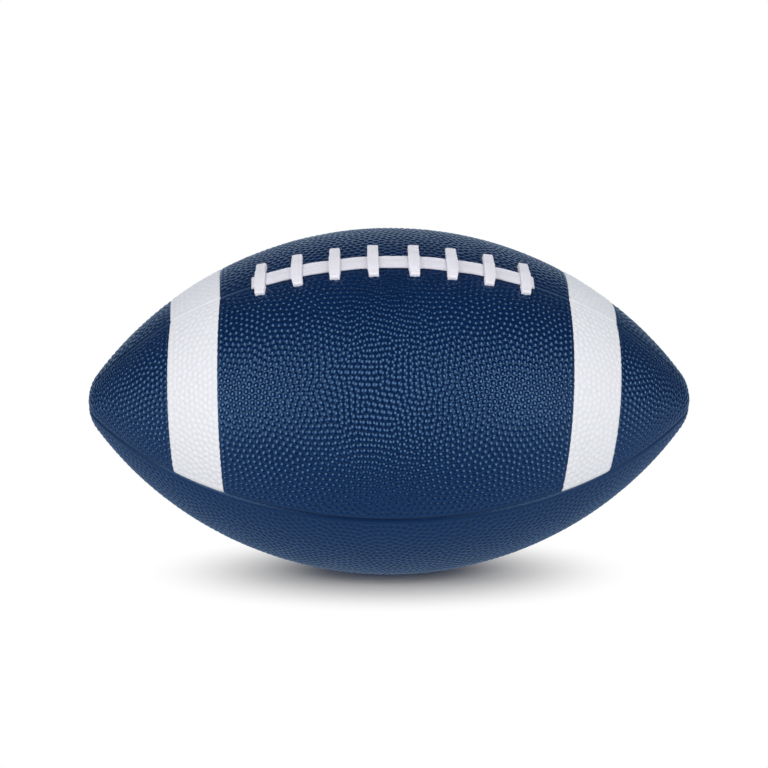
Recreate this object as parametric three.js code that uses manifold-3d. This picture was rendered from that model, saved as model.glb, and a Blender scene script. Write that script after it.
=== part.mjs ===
// American football: a laced ball of four rubber panels over a wound carcass and an air bladder.
// Millimetres, +Z up. The origin is the middle of the ball and +X runs along its length.
import * as THREE from 'three';
import { mergeVertices } from 'three/addons/utils/BufferGeometryUtils.js';
import Module from 'manifold-3d';

const wasm = await Module();
wasm.setup();

// Form of the ball: one long barrel arc that runs into a small round nose at each end
const ballLength = 280;
const ballDiameter = 161;
const noseRadius = 21.5;
const laceRoll = 32.7; // degrees that the laces lie rolled from straight up towards the front

// Layers of the wall, from the skin inwards
const coverThickness = 1.8;
const carcassThickness = 0.6;
const windingThickness = 0.4;
const bladderThickness = 0.6;
const layerGap = 0.3; // between a layer and the next

// Seams between the panels
const seamGap = 0.3;
const seamGrooveWidth = 3.2;
const seamGrooveDepth = 0.7;
const noseOpening = 1.2; // radius of the bare spot where the four panels meet at a nose

// White stripes, let into the two panels beside the laces
const stripeFromNose = 39.5; // from the tip of the nose to the stripe, along the ball
const stripeWidth = 22.7;
const stripeThickness = 0.4;
const stripeGap = 0.3; // round and under a stripe in its recess
const stripeBow = 0.9; // how far the middle of a stripe bends towards the nose
const stripeLean = 1.2; // how far a stripe leans out at the laces, and in at the lower seam

// Laces
const crossLaceCount = 8;
const crossLacePitch = 17.1; // along the skin
const crossLaceMiddlePitch = 18.2; // between the two in the middle
const crossLaceWidth = 5.4;
const crossLaceLength = 23.8;
const crossLaceThickness = 1.1;
const crossLaceSlope = 2.5; // from the side of the runs down to the skin
const crossLaceCorner = 0.8; // rounding over the outside of a leg
const laceRunWidth = 4.7;
const laceRunThickness = 1;
const laceRunOverhang = 2; // past the last cross lace
const laceRunGap = 0.3; // between the two runs
const laceGap = 0.3; // under a lace, and round its leg in a slot
const laceBedThickness = 0.7;
const laceBedMargin = 3.5; // of the bed round the outermost legs

// Valve, in the middle of the panel at the back
const valveTurn = 225; // degrees round the ball from the laces
const valveStemRadius = 5;
const valveRimDepth = 0.3; // of the rim's flat face below the skin
const valveBootLength = 17;
const valveFlangeRadius = 10;
const valveFlangeThickness = 1.2;
const valveClearance = 0.3;
const plugRadius = 2.4;
const plugLength = 14;
const plugHeadRadius = 3.4;
const plugHeadThickness = 1.2;
const needleHoleRadius = 0.9;

// Fineness of the curved faces
const panelFacets = 8; // round one panel
const panelEndSteps = 7; // from a stripe to the end of the panel
const panelMiddleSteps = 8; // between the stripes
const stripeSteps = 2;
const barrelSteps = 12; // along the barrel arc of an inner layer
const noseSteps = 2;
const laceBedSteps = 10;
const laceBedColumns = 4;
const laceRunSteps = 26;
const valveFacets = 24;

const quarter = Math.PI / 2;
const halfLength = ballLength / 2;
const bellyRadius = ballDiameter / 2;
const noseCentre = halfLength - noseRadius;
const noseSquares = noseCentre ** 2 + bellyRadius ** 2 - noseRadius ** 2;
// The barrel arc runs into the nose arcs without a kink
const barrelRadius = noseSquares / (2 * (bellyRadius - noseRadius));
const barrelDrop = barrelRadius - bellyRadius;
const noseStart = Math.atan2(noseCentre, barrelDrop); // where the barrel arc meets the nose arc
const innerFacets = 4 * panelFacets;

const carcassDepth = coverThickness + layerGap;
const windingDepth = carcassDepth + carcassThickness + layerGap;
const bladderDepth = windingDepth + windingThickness + layerGap;
const wallDepth = bladderDepth + bladderThickness;

const finish = (color, roughness) => new THREE.MeshStandardMaterial({ color, roughness, metalness: 0 });
const navyRubber = finish(0x21406b, 0.42);
const whiteRubber = finish(0xe9ecf1, 0.45);
const laceVinyl = finish(0xe2e3ea, 0.55);
const blackRubber = finish(0x1b1b1d, 0.7);
const nylonThread = finish(0xd8d4c8, 0.8);
const valveRubber = finish(0x2b2c2f, 0.6);

const ball = new THREE.Group();
ball.rotation.x = THREE.MathUtils.degToRad(laceRoll);

function addPiece(name, geometry, material) {
  const mesh = new THREE.Mesh(geometry, material);
  mesh.name = name;
  ball.add(mesh);
}

// A point of the outline, by the lean of the skin there and the depth below it.
// Its x is the distance along the ball, and its y the distance out from the long axis.
function outline(lean, depth) {
  if (Math.abs(lean) <= noseStart) {
    const radius = barrelRadius - depth;
    return new THREE.Vector2(radius * Math.sin(lean), radius * Math.cos(lean) - barrelDrop);
  }
  const radius = noseRadius - depth;
  return new THREE.Vector2(Math.sign(lean) * noseCentre + radius * Math.sin(lean), radius * Math.cos(lean));
}

// The lean of the skin at a distance along the ball from its middle
function leanAt(along) {
  if (Math.abs(along) <= barrelRadius * Math.sin(noseStart)) return Math.asin(along / barrelRadius);
  return Math.sign(along) * Math.asin((Math.abs(along) - noseCentre) / noseRadius);
}

// A point of the ball: the turn goes round from the laces at the top towards the front
function pointAt(lean, turn, depth) {
  const at = outline(lean, depth);
  return new THREE.Vector3(at.x, -at.y * Math.sin(turn), at.y * Math.cos(turn));
}

// Evenly spaced values, both ends included
function spread(from, to, steps) {
  return Array.from({ length: steps + 1 }, (_, step) => from + ((to - from) * step) / steps);
}

// A closed slab over a grid of points, each with an upper and a lower place
function slab(rows) {
  const across = rows[0].length;
  const points = rows.flat();
  const under = points.length;
  const positions = [...points.map((p) => p.upper), ...points.map((p) => p.lower)];
  const index = [];
  const quad = (a, b, c, d) => index.push(a, b, c, a, c, d);
  for (let row = 0; row + 1 < rows.length; row++) {
    for (let column = 0; column + 1 < across; column++) {
      const a = row * across + column;
      const d = a + across;
      quad(a, a + 1, d + 1, d);
      quad(under + a, under + d, under + d + 1, under + a + 1);
    }
    const first = row * across;
    const last = first + across - 1;
    quad(first, first + across, under + first + across, under + first);
    quad(last, under + last, under + last + across, last + across);
  }
  for (let column = 0; column + 1 < across; column++) {
    const end = (rows.length - 1) * across + column;
    quad(column, under + column, under + column + 1, column + 1);
    quad(end, end + 1, under + end + 1, under + end);
  }
  const geometry = new THREE.BufferGeometry().setFromPoints(positions);
  geometry.setIndex(index);
  return geometry;
}

// A patch of the wall between two depths, over a stretch of the skin and a width round it
function patch(halfStretch, fromWidth, toWidth, upperDepth, lowerDepth, steps, columns) {
  const leans = spread(-halfStretch / barrelRadius, halfStretch / barrelRadius, steps);
  return slab(
    leans.map((lean) =>
      spread(fromWidth, toWidth, columns).map((width) => {
        const turn = width / outline(lean, 0).y;
        return { upper: pointAt(lean, turn, upperDepth), lower: pointAt(lean, turn, lowerDepth) };
      }),
    ),
  );
}

function solidOf(geometry) {
  const bare = geometry.clone();
  bare.deleteAttribute('normal');
  bare.deleteAttribute('uv');
  const merged = mergeVertices(bare, 1e-4);
  const vertProperties = merged.attributes.position.array;
  const triVerts = new Uint32Array(merged.index.array);
  return new wasm.Manifold(new wasm.Mesh({ numProp: 3, vertProperties, triVerts }));
}

function geometryOf(solid) {
  const { vertProperties, triVerts } = solid.getMesh();
  const geometry = new THREE.BufferGeometry();
  geometry.setAttribute('position', new THREE.BufferAttribute(vertProperties, 3));
  geometry.setIndex(new THREE.BufferAttribute(triVerts, 1));
  return geometry;
}

// The whole ball inside a depth, turned about its long axis
function turnedBody(depth) {
  const leans = [
    ...spread(-quarter, -noseStart, noseSteps),
    ...spread(-noseStart, noseStart, barrelSteps).slice(1, -1),
    ...spread(noseStart, quarter, noseSteps),
  ];
  const points = leans.map((lean) => {
    const at = outline(lean, depth);
    return new THREE.Vector2(Math.abs(lean) === quarter ? 0 : at.y, at.x);
  });
  return solidOf(new THREE.LatheGeometry(points, innerFacets).rotateZ(-quarter));
}

// The valve's axis, out of the ball
const valveAngle = THREE.MathUtils.degToRad(valveTurn);
const valveAxis = pointAt(0, valveAngle, 0).normalize();
const alongValve = new THREE.Quaternion().setFromUnitVectors(new THREE.Vector3(0, 1, 0), valveAxis);
const valveHoleGeometry = new THREE.CylinderGeometry(
  valveStemRadius + valveClearance,
  valveStemRadius + valveClearance,
  bellyRadius,
  valveFacets,
);
const valveHole = solidOf(valveHoleGeometry.translate(0, bellyRadius, 0).applyQuaternion(alongValve));

// Cross laces: each is a flat strip over the runs, with a leg down through the cover at both ends
const laceSpots = Array.from({ length: crossLaceCount }, (_, number) => {
  const fromMiddle = number - (crossLaceCount - 1) / 2;
  const extra = (crossLaceMiddlePitch - crossLacePitch) / 2;
  const lean = (fromMiddle * crossLacePitch + Math.sign(fromMiddle) * extra) / barrelRadius;
  const at = outline(lean, 0);
  const acrossRadius = at.y / Math.cos(lean);
  const place = new THREE.Matrix4().makeRotationY(lean).setPosition(at.x, 0, at.y);
  return { lean, acrossRadius, place };
});
const lastLaceStretch = laceSpots[crossLaceCount - 1].lean * barrelRadius + crossLaceWidth / 2;
const legOuter = crossLaceLength / 2;
const legInner = legOuter - crossLaceThickness;
const runsHalfWidth = laceRunGap / 2 + laceRunWidth + laceGap;
const overRuns = laceGap + laceRunThickness + laceGap;

// A strip at a lace's spot, whose outline is given as widths round the ball and heights over the skin
function laceStrip(spot, corners, width) {
  const points = corners.map(([across, height]) => {
    const radius = spot.acrossRadius + height;
    const turn = across / spot.acrossRadius;
    return new THREE.Vector2(radius * Math.sin(turn), radius * Math.cos(turn) - spot.acrossRadius);
  });
  const shape = new THREE.Shape(points);
  const geometry = new THREE.ExtrudeGeometry(shape, { depth: width, bevelEnabled: false });
  const stand = new THREE.Matrix4().makeBasis(
    new THREE.Vector3(0, 1, 0),
    new THREE.Vector3(0, 0, 1),
    new THREE.Vector3(1, 0, 0),
  );
  return geometry.translate(0, 0, -width / 2).applyMatrix4(stand).applyMatrix4(spot.place);
}

function crossLace(spot) {
  const slopeEnd = runsHalfWidth + crossLaceSlope;
  const overLow = laceGap + crossLaceThickness;
  const overHigh = overRuns + crossLaceThickness;
  const upperHalf = [
    [runsHalfWidth, overHigh],
    [slopeEnd, overLow],
    [legOuter - crossLaceCorner, overLow],
    [legOuter, overLow - crossLaceCorner],
    [legOuter, -coverThickness],
  ];
  const lowerHalf = [
    [legInner, -coverThickness],
    [legInner, laceGap],
    [slopeEnd, laceGap],
    [runsHalfWidth, overRuns],
  ];
  const mirror = (half) => half.map(([across, height]) => [-across, height]).reverse();
  const rightSide = [[0, overHigh], ...upperHalf, ...lowerHalf, [0, overRuns]];
  const leftSide = [...mirror(lowerHalf), ...mirror(upperHalf)];
  return laceStrip(spot, [...rightSide, ...leftSide].reverse(), crossLaceWidth);
}

function legSlot(spot, side) {
  const inner = side * (legInner - laceGap);
  const outer = side * (legOuter + laceGap);
  const corners = [
    [inner, -carcassDepth],
    [outer, -carcassDepth],
    [outer, coverThickness],
    [inner, coverThickness],
  ];
  return solidOf(laceStrip(spot, side > 0 ? corners : corners.reverse(), crossLaceWidth + 2 * laceGap));
}

const legSlots = laceSpots.flatMap((spot) => [legSlot(spot, 1), legSlot(spot, -1)]);
const withSlots = (solid) => legSlots.reduce((rest, slot) => rest.subtract(slot), solid);

laceSpots.forEach((spot, number) => addPiece(`cross_lace_${number + 1}`, crossLace(spot), laceVinyl));

// Runs: two flat lengths of lace side by side under the cross laces
const runHalfStretch = lastLaceStretch + laceRunOverhang;
const runTop = -(laceGap + laceRunThickness);
const runInner = laceRunGap / 2;
const runOuter = runInner + laceRunWidth;
const laceRun = (from, to) => patch(runHalfStretch, from, to, runTop, -laceGap, laceRunSteps, 1);
addPiece('lace_run_front', laceRun(runInner, runOuter), laceVinyl);
addPiece('lace_run_back', laceRun(-runOuter, -runInner), laceVinyl);

// Lace bed: a rubber strip under the cover that the legs go through
const bedHalfStretch = lastLaceStretch + laceBedMargin;
const bedHalfWidth = legOuter + laceBedMargin;
const bedTop = coverThickness - laceBedThickness;
function bedPatch(margin, upperDepth, lowerDepth) {
  const side = bedHalfWidth + margin;
  const end = bedHalfStretch + margin;
  return solidOf(patch(end, -side, side, upperDepth, lowerDepth, laceBedSteps, laceBedColumns));
}
const bed = bedPatch(0, bedTop, coverThickness);
const bedRecess = bedPatch(layerGap, bedTop - layerGap, wallDepth);
addPiece('lace_bed', geometryOf(withSlots(bed)), blackRubber);

// Stripe edges: the share runs from 0 at the laces to 1 at the panel's far seam
const stripeOuterEdge = halfLength - stripeFromNose;
const stripeInnerEdge = stripeOuterEdge - stripeWidth;
function stripeEdgeLean(edge, share) {
  const middle = 2 * share - 1;
  return leanAt(edge + stripeBow * (1 - middle * middle) - stripeLean * middle);
}

// Columns of a panel: a groove at each seam, and even facets between
const panelColumns = [
  { share: 0, atSeam: -1 },
  ...spread(0, 1, panelFacets).map((share) => ({ share, atSeam: 0 })),
  { share: 1, atSeam: 1 },
];
function columnTurn(column, firstTurn, lean) {
  const out = outline(lean, 0).y;
  const slit = Math.asin(seamGap / 2 / out);
  if (column.atSeam < 0) return firstTurn + slit;
  if (column.atSeam > 0) return firstTurn + quarter - slit;
  const groove = Math.min(seamGrooveWidth / 2 / out, quarter / 3);
  return firstTurn + groove + column.share * (quarter - 2 * groove);
}

function skinSlab(stations, firstTurn, laceShare, lowerDepth) {
  return slab(
    stations.map((station) =>
      panelColumns.map((column) => {
        const lean = station.lean(laceShare(column.share));
        const turn = columnTurn(column, firstTurn, lean);
        const groove = column.atSeam ? seamGrooveDepth : 0;
        const upper = pointAt(lean, turn, station.depth + groove);
        return { upper, lower: pointAt(lean, turn, lowerDepth(groove)) };
      }),
    ),
  );
}

// Stations along a panel between two leans, each a function of the share across the panel
function stretch(from, to, steps, depth) {
  return spread(0, 1, steps).map((part) => ({
    lean: (share) => from(share) + (to(share) - from(share)) * part,
    depth,
  }));
}

const panelEnd = Math.acos(noseOpening / noseRadius);
const atEnd = (side) => () => side * panelEnd;
const atEdge = (side, edge, gap) => (share) => side * stripeEdgeLean(edge + gap, share);
const recessDepth = stripeThickness + stripeGap;

function stripedStations() {
  const outer = (side) => atEdge(side, stripeOuterEdge, stripeGap);
  const inner = (side) => atEdge(side, stripeInnerEdge, -stripeGap);
  return [
    ...stretch(atEnd(-1), outer(-1), panelEndSteps, 0),
    ...stretch(outer(-1), inner(-1), stripeSteps, recessDepth),
    ...stretch(inner(-1), inner(1), panelMiddleSteps, 0),
    ...stretch(inner(1), outer(1), stripeSteps, recessDepth),
    ...stretch(outer(1), atEnd(1), panelEndSteps, 0),
  ];
}

function plainStations() {
  return stretch(atEnd(-1), atEnd(1), 2 * (panelEndSteps + stripeSteps) + panelMiddleSteps, 0);
}

// Panels and their stripes
const panels = [
  { name: 'front', firstTurn: 0, striped: true, laceShare: (share) => share },
  { name: 'bottom', firstTurn: quarter, striped: false, laceShare: (share) => share },
  { name: 'back', firstTurn: 2 * quarter, striped: false, laceShare: (share) => share },
  { name: 'top', firstTurn: 3 * quarter, striped: true, laceShare: (share) => 1 - share },
];
const insideCover = turnedBody(coverThickness);
panels.forEach(({ name, firstTurn, striped, laceShare }) => {
  const stations = striped ? stripedStations() : plainStations();
  const blank = solidOf(skinSlab(stations, firstTurn, laceShare, () => wallDepth)).subtract(insideCover);
  const cut = withSlots(blank.subtract(bedRecess).subtract(valveHole));
  addPiece(`${name}_panel`, geometryOf(cut), navyRubber);
  if (!striped) return;
  for (const [sideName, side] of [['left', -1], ['right', 1]]) {
    const inner = atEdge(side, stripeInnerEdge, 0);
    const outer = atEdge(side, stripeOuterEdge, 0);
    const ends = side < 0 ? [outer, inner] : [inner, outer];
    const across = stretch(...ends, stripeSteps, 0);
    const film = skinSlab(across, firstTurn, laceShare, (groove) => stripeThickness + groove);
    addPiece(`${name}_${sideName}_stripe`, geometryOf(withSlots(solidOf(film))), whiteRubber);
  }
});

// Inner layers: closed shells that the valve passes through
function layer(depth, thickness) {
  return geometryOf(turnedBody(depth).subtract(turnedBody(depth + thickness)).subtract(valveHole));
}
addPiece('carcass', layer(carcassDepth, carcassThickness), blackRubber);
addPiece('winding', layer(windingDepth, windingThickness), nylonThread);
addPiece('bladder', layer(bladderDepth, bladderThickness), blackRubber);

// Valve: heights are out from the ball's axis. The flange lies inside the bladder and falls away with it
const rimHeight = bellyRadius - valveRimDepth;
const bladderInside = bellyRadius - wallDepth;
const facetSlope = Math.hypot(Math.tan(Math.PI / innerFacets), Math.tan(noseStart / barrelSteps));
const bladderFall = (radius) => radius * facetSlope + radius ** 2 / (2 * bladderInside);
const flangeTop = bladderInside - layerGap - bladderFall(valveStemRadius);
const flangeRim = bladderInside - layerGap - bladderFall(valveFlangeRadius);
const boreRadius = plugRadius + valveClearance;
const seatRadius = plugHeadRadius + valveClearance;
const seatHeight = rimHeight - plugHeadThickness - valveClearance;

function valvePiece(name, corners) {
  const points = corners.map(([radius, height]) => new THREE.Vector2(radius, height));
  const geometry = new THREE.LatheGeometry([...points, points[0].clone()], valveFacets);
  addPiece(name, geometry.applyQuaternion(alongValve), valveRubber);
}

valvePiece(
  'valve_boot',
  [
    [boreRadius, rimHeight - valveBootLength],
    [valveStemRadius, rimHeight - valveBootLength],
    [valveStemRadius, flangeRim - valveFlangeThickness],
    [valveFlangeRadius, flangeRim - valveFlangeThickness],
    [valveFlangeRadius, flangeRim],
    [valveStemRadius, flangeTop],
    [valveStemRadius, rimHeight],
    [seatRadius, rimHeight],
    [seatRadius, seatHeight],
    [boreRadius, seatHeight],
  ],
);
valvePiece(
  'valve_plug',
  [
    [needleHoleRadius, rimHeight - plugLength],
    [plugRadius, rimHeight - plugLength],
    [plugRadius, rimHeight - plugHeadThickness],
    [plugHeadRadius, rimHeight - plugHeadThickness],
    [plugHeadRadius, rimHeight],
    [needleHoleRadius, rimHeight],
  ],
);

const football = new THREE.Group();
football.add(ball);

export default football;
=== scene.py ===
import math

import bpy
import numpy as np
from mathutils import Matrix, Vector
from mathutils.geometry import delaunay_2d_cdt
from mathutils.kdtree import KDTree


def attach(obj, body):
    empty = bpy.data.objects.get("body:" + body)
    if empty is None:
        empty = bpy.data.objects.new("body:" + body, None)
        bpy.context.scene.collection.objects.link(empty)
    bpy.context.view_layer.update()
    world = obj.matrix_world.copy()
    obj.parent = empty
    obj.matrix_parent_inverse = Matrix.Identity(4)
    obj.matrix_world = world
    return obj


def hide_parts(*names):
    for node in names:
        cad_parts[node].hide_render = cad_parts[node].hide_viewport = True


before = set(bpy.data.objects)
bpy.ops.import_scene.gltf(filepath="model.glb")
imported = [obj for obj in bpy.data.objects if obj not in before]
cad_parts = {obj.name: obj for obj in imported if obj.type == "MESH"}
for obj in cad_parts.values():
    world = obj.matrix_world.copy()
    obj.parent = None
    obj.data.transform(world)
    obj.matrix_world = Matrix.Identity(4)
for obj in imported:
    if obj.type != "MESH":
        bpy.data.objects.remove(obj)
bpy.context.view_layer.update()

print("frame loaded:", len(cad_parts), "pieces")

# lengths on the ball are in millimetres until a mesh is made
metre = 0.001
quarter = math.pi / 2
tiny = 1e-6  # keeps a divisor above nought
exact = 1e-9

ballForm = {
    "length": 280,
    "diameter": 161,
    "noseRadius": 21.5,
    "laceRoll": 32.7,  # degrees that the laces lie rolled towards the front
    "coverThickness": 1.8,
}

halfLength = ballForm["length"] / 2
bellyRadius = ballForm["diameter"] / 2
noseRadius = ballForm["noseRadius"]
noseCentre = halfLength - noseRadius
barrelRadius = (noseCentre**2 + bellyRadius**2 - noseRadius**2) / (2 * (bellyRadius - noseRadius))
barrelDrop = barrelRadius - bellyRadius
noseStart = math.atan2(noseCentre, barrelDrop)  # lean of the skin where the barrel runs into the nose
rolled = np.array(Matrix.Rotation(math.radians(ballForm["laceRoll"]), 3, "X"))


# places on the ball: lean of the skin, turn from the laces towards the front, depth below the skin
def bendRadius(lean):
    return np.where(np.abs(lean) > noseStart, noseRadius, barrelRadius)


def outline(lean, depth=0.0):
    onNose = np.abs(lean) > noseStart
    radius = bendRadius(lean) - depth
    along = radius * np.sin(lean) + np.where(onNose, np.sign(lean) * noseCentre, 0)
    out = radius * np.cos(lean) - np.where(onNose, 0, barrelDrop)
    return along, out


def skinPoint(lean, turn, depth=0.0):
    along, out = outline(lean, depth)
    return np.stack([along, -out * np.sin(turn), out * np.cos(turn)], -1)


def skinNormal(lean, turn):
    return np.stack([np.sin(lean), -np.cos(lean) * np.sin(turn), np.cos(lean) * np.cos(turn)], -1)


def leanAt(along):
    return np.arcsin(np.asarray(along) / barrelRadius)  # on the barrel, where the stripes and laces are


def stretchAt(lean):  # length over the skin from the belly
    past = np.abs(lean) - noseStart
    return np.sign(lean) * np.where(
        past > 0, barrelRadius * noseStart + noseRadius * past, barrelRadius * np.abs(lean)
    )


def leanOf(points):
    along = points[:, 0]
    out = np.hypot(points[:, 1], points[:, 2])
    onBarrel = np.arctan2(along, out + barrelDrop)
    onNose = np.sign(along) * np.arctan2(np.abs(along) - noseCentre, out)
    return np.where(np.abs(onBarrel) > noseStart, onNose, onBarrel)


# running sums along the outline: area of the skin, and a chart that keeps its angles
tableEnd = 0.9995 * quarter  # just short of the tip, where the chart has no end
tableSize = 8001
leanTable = np.linspace(-tableEnd, tableEnd, tableSize)
outTable = outline(leanTable)[1]
leanStep = leanTable[1] - leanTable[0]
areaTable = np.cumsum(bendRadius(leanTable) * outTable) * leanStep
chartTable = np.cumsum(bendRadius(leanTable) / outTable) * leanStep


def chartAt(lean):
    return np.interp(lean, leanTable, chartTable)


def tipLean(nearInset, farInset):  # where a panel is so narrow that both insets meet
    return math.acos(math.hypot(nearInset, farInset) / noseRadius)


# shader maths
class Value:
    def __init__(self, tree, socket):
        self.tree = tree
        self.socket = socket

    def maths(self, operation, first, second):
        return self.tree.node("ShaderNodeMath", {"operation": operation}, {0: first, 1: second})

    def __add__(self, other):
        return self.maths("ADD", self, other)

    def __sub__(self, other):
        return self.maths("SUBTRACT", self, other)

    def __mul__(self, other):
        return self.maths("MULTIPLY", self, other)

    def __rsub__(self, other):
        return self.maths("SUBTRACT", other, self)

    __radd__ = __add__
    __rmul__ = __mul__

    def clamped(self):
        return self.tree.node("ShaderNodeClamp", None, {"Value": self})


class ShaderTree:
    def __init__(self, owner):
        owner.use_nodes = True
        self.owner = owner
        self.tree = owner.node_tree
        self.tree.nodes.clear()

    def feed(self, source, socket):
        if isinstance(source, Value):
            self.tree.links.new(source.socket, socket)
        else:
            socket.default_value = source

    def node(self, kind, settings=None, sockets=None, out=0):
        made = self.tree.nodes.new(kind)
        for name, setting in (settings or {}).items():
            setattr(made, name, setting)
        for name, source in (sockets or {}).items():
            self.feed(source, made.inputs[name])
        return Value(self, made.outputs[out]) if made.outputs else None

    def colourMix(self, share, first, second):
        return self.node("ShaderNodeMix", {"data_type": "RGBA"}, {0: share, 6: first, 7: second}, 2)

    def objectSpot(self):
        return self.node("ShaderNodeTexCoord", out="Object")

    def rays(self, *kinds):
        return [self.node("ShaderNodeLightPath", out=kind) for kind in kinds]

    def noise(self, spot, scale, detail=2.0):
        return self.node("ShaderNodeTexNoise", None, {"Vector": spot, "Scale": scale, "Detail": detail})

    def scaled(self, spot, scale):
        return self.node("ShaderNodeVectorMath", {"operation": "MULTIPLY"}, {0: spot, 1: scale})

    def eased(self, value, start, end):
        sockets = {"Value": value, "From Min": start, "From Max": end}
        return self.node("ShaderNodeMapRange", {"interpolation_type": "SMOOTHSTEP"}, sockets)

    def bump(self, height, distance, strength):
        sockets = {"Height": height, "Distance": distance, "Strength": strength}
        return self.node("ShaderNodeBump", None, sockets)

    def principled(self, sockets):
        shader = self.node("ShaderNodeBsdfPrincipled", None, sockets)
        self.node("ShaderNodeOutputMaterial", None, {"Surface": shader})
        return self.owner


def colour(red, green, blue):
    return (red, green, blue, 1.0)


def newFinish(name):
    return ShaderTree(bpy.data.materials.new(name))


# cover rubber: smoother on the crowns of the pebbles and duller in the valleys between them; its colour is
# lighter on the crowns as a painted highlight and darker in the valleys as painted shade
coverFinish = {
    "valley": colour(0.0004, 0.0104, 0.0498),
    "crown": colour(0.0005, 0.0172, 0.081),
    "crownRoughness": 0.15,
    "valleyRoughness": 0.35,
    "specular": 0.82,
    "sheenTint": colour(0.335, 0.615, 1.0),
    "cloud": 38.0,  # to the metre, and how far the clouds move tone and roughness
    "cloudTone": 0.5,
    "cloudSheen": 0.08,
    "grain": 3200.0,
    "grainTone": 0.3,
    "grainSheen": 0.1,
    "grainHeight": 0.00006,
    "grainStrength": 0.5,
}


def pebbledRubber(name, look):
    tree = newFinish(name)
    crown = tree.node("ShaderNodeAttribute", {"attribute_name": "crown"}, out="Fac")
    spot = tree.objectSpot()
    cloud = tree.noise(spot, look["cloud"], detail=3.0) - 0.5
    grain = tree.noise(spot, look["grain"]) - 0.5
    # the crown share sets the colour: a painted highlight on the crowns, painted shade in the valleys
    tone = (crown + cloud * look["cloudTone"] + grain * look["grainTone"]).clamped()
    smoother = look["crownRoughness"] - look["valleyRoughness"]
    roughness = crown * smoother + look["valleyRoughness"]
    roughness = roughness + cloud * look["cloudSheen"] + grain * look["grainSheen"]
    sockets = {
        "Base Color": tree.colourMix(tone, look["valley"], look["crown"]),
        "Roughness": roughness,
        "Normal": tree.bump(grain, look["grainHeight"], look["grainStrength"]),
        "Specular IOR Level": look["specular"],
        "Specular Tint": look["sheenTint"],
    }
    return tree.principled(sockets)


# white rubber of the stripes: a little darker in the valleys as painted shade, and lighter on the crowns as
# a painted highlight
stripeFinish = {
    **coverFinish,
    "valley": colour(0.775, 0.790, 0.835),
    "crown": colour(0.815, 0.830, 0.875),
    "crownRoughness": 0.45,
    "valleyRoughness": 0.5,
    "specular": 0.22,
    "sheenTint": colour(1.0, 1.0, 1.0),
}

# vinyl of the laces: drawn lengthwise, so its streaks run along the lace
crossFinish = {
    "streak": colour(0.775, 0.765, 0.835),
    "body": colour(0.885, 0.875, 0.95),
    "roughness": 0.52,
    "fine": 1500.0,  # streaks to the metre across a lace
    "long": 60.0,  # and along it
    "cloud": 120.0,
    "streakTone": 1.3,
    "cloudTone": 0.5,
    "toneDrop": 0.4,
    "cloudSheen": 0.15,
    "streakHeight": 0.00012,
    "streakStrength": 0.5,
}
# the runs take a darker copy of the cross laces' vinyl: painted shade
shadedRunFinish = {**crossFinish, "streak": colour(0.69, 0.68, 0.75), "body": colour(0.80, 0.79, 0.87)}


def drawnVinyl(name, look, fineAxis):
    tree = newFinish(name)
    spot = tree.objectSpot()
    scale = [look["long"]] * 3
    scale[fineAxis] = look["fine"]
    unroll = {"Vector": spot, "Angle": -math.radians(ballForm["laceRoll"])}
    unrolled = tree.node("ShaderNodeVectorRotate", {"rotation_type": "X_AXIS"}, unroll)
    streak = tree.noise(tree.scaled(unrolled, scale), scale=1.0, detail=3.0)
    cloud = tree.noise(spot, look["cloud"])
    tone = (streak * look["streakTone"] + cloud * look["cloudTone"] - look["toneDrop"]).clamped()
    sockets = {
        "Base Color": tree.colourMix(tone, look["streak"], look["body"]),
        "Roughness": look["roughness"] + (cloud - 0.5) * look["cloudSheen"],
        "Normal": tree.bump(streak, look["streakHeight"], look["streakStrength"]),
    }
    return tree.principled(sockets)


# dull rubber of the inside and the valve
innerFinish = {
    "dark": colour(0.008, 0.008, 0.009),
    "light": colour(0.02, 0.02, 0.021),
    "roughness": 0.65,
    "cloud": 60.0,
    "cloudSheen": 0.2,
    "grain": 2400.0,
    "grainSheen": 0.1,
    "grainHeight": 0.00008,
    "grainStrength": 0.6,
}
valveFinish = {
    **innerFinish,
    "dark": colour(0.018, 0.019, 0.021),
    "light": colour(0.035, 0.036, 0.04),
    "roughness": 0.55,
}


def mouldedRubber(name, look):
    tree = newFinish(name)
    spot = tree.objectSpot()
    cloud = tree.noise(spot, look["cloud"], detail=4.0)
    grain = tree.noise(spot, look["grain"])
    roughness = look["roughness"] + (cloud - 0.5) * look["cloudSheen"]
    sockets = {
        "Base Color": tree.colourMix(cloud, look["dark"], look["light"]),
        "Roughness": roughness + (grain - 0.5) * look["grainSheen"],
        "Normal": tree.bump(grain, look["grainHeight"], look["grainStrength"]),
    }
    return tree.principled(sockets)


# nylon thread wound both ways round the carcass
threadFinish = {
    "turns": [(0.3, 0.5, 0.9), (-0.4, 0.9, -0.8)],  # of the two windings
    "shares": [0.6, 0.4],
    "scale": 320.0,
    "distortion": 1.5,
    "shade": colour(0.42, 0.39, 0.32),
    "light": colour(0.74, 0.71, 0.62),
    "roughness": 0.85,
    "sheen": 0.15,
    "height": 0.0003,
    "strength": 0.8,
}


def woundThread(name, look):
    tree = newFinish(name)
    spot = tree.objectSpot()
    bands = {"wave_type": "BANDS", "bands_direction": "X", "wave_profile": "SIN"}
    windings = []
    for turn, share in zip(look["turns"], look["shares"]):
        turning = {"Vector": spot, "Rotation": turn}
        wound = tree.node("ShaderNodeVectorRotate", {"rotation_type": "EULER_XYZ"}, turning)
        sockets = {"Vector": wound, "Scale": look["scale"], "Distortion": look["distortion"], "Detail": 1.0}
        windings.append(tree.node("ShaderNodeTexWave", bands, sockets, "Fac") * share)
    weave = windings[0] + windings[1]
    sockets = {
        "Base Color": tree.colourMix(weave, look["shade"], look["light"]),
        "Roughness": look["roughness"] - weave * look["sheen"],
        "Normal": tree.bump(weave, look["height"], look["strength"]),
    }
    return tree.principled(sockets)


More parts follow.
